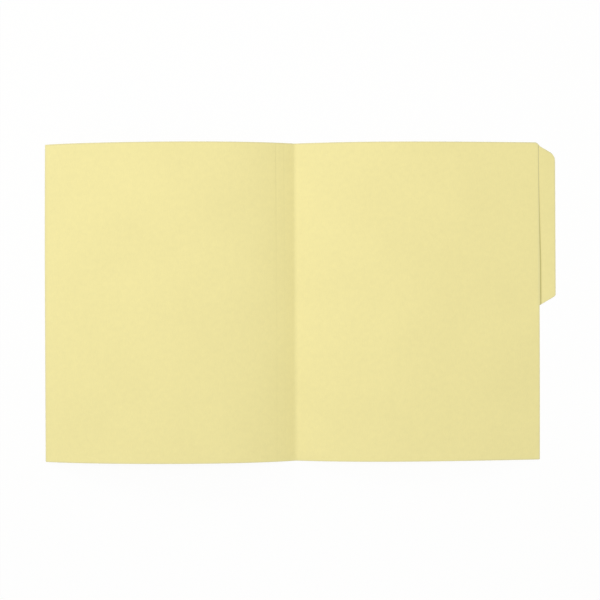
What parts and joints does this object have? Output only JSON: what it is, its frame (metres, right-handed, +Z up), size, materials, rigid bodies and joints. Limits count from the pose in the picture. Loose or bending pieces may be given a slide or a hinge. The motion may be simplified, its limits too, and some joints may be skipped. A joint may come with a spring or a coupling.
{
  "type": "file folder",
  "caption": "Letter-size yellow card file folder with a half-cut end tab, lying open; the cover folds shut over expansion scores beside the main fold and the tab bends at its crease.",
  "frame": {"origin": "underside of the back leaf's flat foot, beside the main fold and half way along it, on the surface that the open folder lies on", "axes": "+Y along the main fold, +X across it towards the tab, +Z up out of the inside face"},
  "size_m": [0.4808, 0.2984, 0.0172],
  "materials": {
    "yellow_card": "matte"
  },
  "bodies": {
    "back_leaf": {"back_leaf": "yellow_card"},
    "tab": {"tab": "yellow_card"},
    "inner_expansion_strip": {"inner_expansion_strip": "yellow_card"},
    "outer_expansion_strip": {"outer_expansion_strip": "yellow_card"},
    "front_leaf": {"front_leaf": "yellow_card"}
  },
  "joints": [
    {"name": "main_fold", "type": "hinge", "parent": "back_leaf", "child": "inner_expansion_strip", "pos_m": [-0.0009, 0, 0.0003], "axis": [0, 1, 0], "range_deg": [0, 90]},
    {"name": "inner_score", "type": "hinge", "parent": "inner_expansion_strip", "child": "outer_expansion_strip", "pos_m": [-0.0101, 0, 0.00395], "axis": [0, 1, 0], "range_deg": [0, 42]},
    {"name": "outer_score", "type": "hinge", "parent": "outer_expansion_strip", "child": "front_leaf", "pos_m": [-0.0178, 0, 0.00645], "axis": [0, 1, 0], "range_deg": [0, 40]},
    {"name": "tab_crease", "type": "hinge", "parent": "back_leaf", "child": "tab", "pos_m": [0.22985, 0.0704, 0.0003], "axis": [0, -1, 0], "range_deg": [0, 90]}
  ]
}
